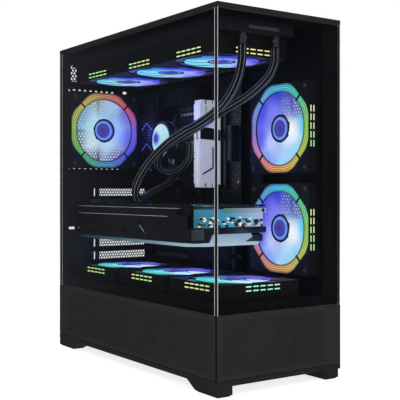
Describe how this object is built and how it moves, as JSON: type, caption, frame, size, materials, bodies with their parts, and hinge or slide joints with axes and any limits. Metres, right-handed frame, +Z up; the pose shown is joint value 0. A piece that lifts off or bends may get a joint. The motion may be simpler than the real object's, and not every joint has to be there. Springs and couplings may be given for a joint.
{
  "type": "desktop computer tower",
  "caption": "Desktop computer tower: steel case with tinted glass side and front, lit fans, liquid-cooled processor, graphics card and power supply inside.",
  "frame": {"origin": "middle of the case's footprint, on the floor under the rubber feet", "axes": "+Z up, the front faces -Y, the glass side faces -X, the rear connectors face +Y"},
  "size_m": [0.197, 0.422, 0.462],
  "materials": {
    "case_steel": "fine matt black powder coat",
    "panel_steel": "matt charcoal powder coat, finely perforated",
    "case_plastic": "fine-grained black",
    "tinted_glass": "dark tinted, polished, tempered",
    "foot_rubber": "matt black",
    "filter_mesh": "fine black nylon mesh",
    "fan_plastic": "satin black",
    "fan_blade": "frosted translucent, lit from the hub",
    "radiator_metal": "satin black",
    "hose_sleeve": "black braided sleeve",
    "pump_shell": "frosted, lit cyan",
    "board_laminate": "black circuit board",
    "memory_white": "satin white",
    "heatsink_metal": "dark anodised with lit lines",
    "card_plastic": "satin black",
    "card_metal": "black anodised, brushed",
    "supply_metal": "wrinkle black"
  },
  "bodies": {
    "root": {"base_trim": "case_plastic", "foot_pad_front_left": "foot_rubber", "foot_pad_front_right": "foot_rubber", "foot_pad_rear_left": "foot_rubber", "foot_pad_rear_right": "foot_rubber", "chassis_floor": "case_steel", "rear_wall": "case_steel", "motherboard_tray": "case_steel", "psu_shroud": "case_steel", "top_frame": "case_steel", "front_pillar": "case_steel", "top_cover": "case_plastic", "io_board": "board_laminate", "radiator": "radiator_metal", "hose_outer": "hose_sleeve", "hose_inner": "hose_sleeve", "pump_head": "pump_shell", "motherboard": "board_laminate", "memory_stick_front": "memory_white", "memory_stick_rear": "memory_white", "board_heatsink": "heatsink_metal", "graphics_card_body": "card_plastic", "graphics_card_backplate": "card_metal", "slot_cover_upper": "card_metal", "slot_covers_lower": "card_metal", "power_supply": "supply_metal", "drive_cage": "case_steel", "drive_tray": "case_plastic", "fan_frame_top_front": "fan_plastic", "fan_frame_top_middle": "fan_plastic", "fan_frame_top_rear": "fan_plastic", "fan_frame_bottom_front": "fan_plastic", "fan_frame_bottom_middle": "fan_plastic", "fan_frame_bottom_rear": "fan_plastic", "fan_frame_side_lower": "fan_plastic", "fan_frame_side_upper": "fan_plastic", "fan_frame_rear": "fan_plastic"},
    "fan_rotor_top_front": {"fan_rotor_top_front": "fan_blade"},
    "fan_rotor_top_middle": {"fan_rotor_top_middle": "fan_blade"},
    "fan_rotor_top_rear": {"fan_rotor_top_rear": "fan_blade"},
    "fan_rotor_bottom_front": {"fan_rotor_bottom_front": "fan_blade"},
    "fan_rotor_bottom_middle": {"fan_rotor_bottom_middle": "fan_blade"},
    "fan_rotor_bottom_rear": {"fan_rotor_bottom_rear": "fan_blade"},
    "fan_rotor_side_lower": {"fan_rotor_side_lower": "fan_blade"},
    "fan_rotor_side_upper": {"fan_rotor_side_upper": "fan_blade"},
    "fan_rotor_rear": {"fan_rotor_rear": "fan_blade"},
    "graphics_card_rotor_front": {"graphics_card_rotor_front": "card_plastic"},
    "graphics_card_rotor_middle": {"graphics_card_rotor_middle": "card_plastic"},
    "graphics_card_rotor_rear": {"graphics_card_rotor_rear": "card_plastic"},
    "power_supply_rotor": {"power_supply_rotor": "case_plastic"},
    "power_button": {"power_button": "case_plastic"},
    "reset_button": {"reset_button": "case_plastic"},
    "side_glass": {"side_glass": "tinted_glass"},
    "front_glass": {"front_glass": "tinted_glass"},
    "lower_side_panel": {"lower_side_panel": "panel_steel"},
    "lower_front_panel": {"lower_front_panel": "panel_steel"},
    "right_panel": {"right_panel": "panel_steel"},
    "top_filter": {"top_filter": "filter_mesh"},
    "bottom_filter": {"bottom_filter": "filter_mesh"},
    "power_supply_switch": {"power_supply_switch": "case_plastic"}
  },
  "joints": [
    {"name": "fan_top_front_spin", "type": "hinge", "parent": "root", "child": "fan_rotor_top_front", "pos_m": [-0.0275, -0.123, 0.4205], "axis": [0, 0, -1], "continuous": true},
    {"name": "fan_top_middle_spin", "type": "hinge", "parent": "root", "child": "fan_rotor_top_middle", "pos_m": [-0.0275, -0.003, 0.4205], "axis": [0, 0, -1], "continuous": true},
    {"name": "fan_top_rear_spin", "type": "hinge", "parent": "root", "child": "fan_rotor_top_rear", "pos_m": [-0.0275, 0.117, 0.4205], "axis": [0, 0, -1], "continuous": true},
    {"name": "fan_bottom_front_spin", "type": "hinge", "parent": "root", "child": "fan_rotor_bottom_front", "pos_m": [-0.0205, -0.139, 0.1167], "axis": [0, 0, 1], "continuous": true},
    {"name": "fan_bottom_middle_spin", "type": "hinge", "parent": "root", "child": "fan_rotor_bottom_middle", "pos_m": [-0.0205, -0.006, 0.1167], "axis": [0, 0, 1], "continuous": true},
    {"name": "fan_bottom_rear_spin", "type": "hinge", "parent": "root", "child": "fan_rotor_bottom_rear", "pos_m": [-0.0205, 0.127, 0.1167], "axis": [0, 0, 1], "continuous": true},
    {"name": "fan_side_lower_spin", "type": "hinge", "parent": "root", "child": "fan_rotor_side_lower", "pos_m": [0.066, -0.14, 0.192], "axis": [-1, 0, 0], "continuous": true},
    {"name": "fan_side_upper_spin", "type": "hinge", "parent": "root", "child": "fan_rotor_side_upper", "pos_m": [0.066, -0.14, 0.325], "axis": [-1, 0, 0], "continuous": true},
    {"name": "fan_rear_spin", "type": "hinge", "parent": "root", "child": "fan_rotor_rear", "pos_m": [-0.0325, 0.1955, 0.338], "axis": [0, -1, 0], "continuous": true},
    {"name": "graphics_card_front_spin", "type": "hinge", "parent": "root", "child": "graphics_card_rotor_front", "pos_m": [-0.0095, -0.066, 0.1765], "axis": [0, 0, -1], "continuous": true},
    {"name": "graphics_card_middle_spin", "type": "hinge", "parent": "root", "child": "graphics_card_rotor_middle", "pos_m": [-0.0095, 0.037, 0.1765], "axis": [0, 0, -1], "continuous": true},
    {"name": "graphics_card_rear_spin", "type": "hinge", "parent": "root", "child": "graphics_card_rotor_rear", "pos_m": [-0.0095, 0.14, 0.1765], "axis": [0, 0, -1], "continuous": true},
    {"name": "power_supply_fan_spin", "type": "hinge", "parent": "root", "child": "power_supply_rotor", "pos_m": [0.0005, 0.13775, 0.03], "axis": [0, 0, -1], "continuous": true},
    {"name": "power_button_press", "type": "slide", "parent": "root", "child": "power_button", "axis": [0, 0, -1], "range_m": [0, 0.0015], "stiffness_N_per_m": 400},
    {"name": "reset_button_press", "type": "slide", "parent": "root", "child": "reset_button", "axis": [0, 0, -1], "range_m": [0, 0.0012], "stiffness_N_per_m": 300},
    {"name": "side_glass_pull", "type": "slide", "parent": "root", "child": "side_glass", "axis": [-1, 0, 0], "range_m": [0, 0.06]},
    {"name": "front_glass_pull", "type": "slide", "parent": "root", "child": "front_glass", "axis": [0, -1, 0], "range_m": [0, 0.06]},
    {"name": "lower_side_panel_pull", "type": "slide", "parent": "root", "child": "lower_side_panel", "axis": [-1, 0, 0], "range_m": [0, 0.05]},
    {"name": "lower_front_panel_pull", "type": "slide", "parent": "root", "child": "lower_front_panel", "axis": [0, -1, 0], "range_m": [0, 0.05]},
    {"name": "right_panel_pull", "type": "slide", "parent": "root", "child": "right_panel", "axis": [1, 0, 0], "range_m": [0, 0.06]},
    {"name": "top_filter_lift", "type": "slide", "parent": "root", "child": "top_filter", "axis": [0, 0, 1], "range_m": [0, 0.04]},
    {"name": "bottom_filter_pull", "type": "slide", "parent": "root", "child": "bottom_filter", "axis": [0, 1, 0], "range_m": [0, 0.14]},
    {"name": "power_supply_switch_rock", "type": "hinge", "parent": "root", "child": "power_supply_switch", "pos_m": [-0.0355, 0.20425, 0.042], "axis": [1, 0, 0], "range_deg": [-6, 6]}
  ]
}
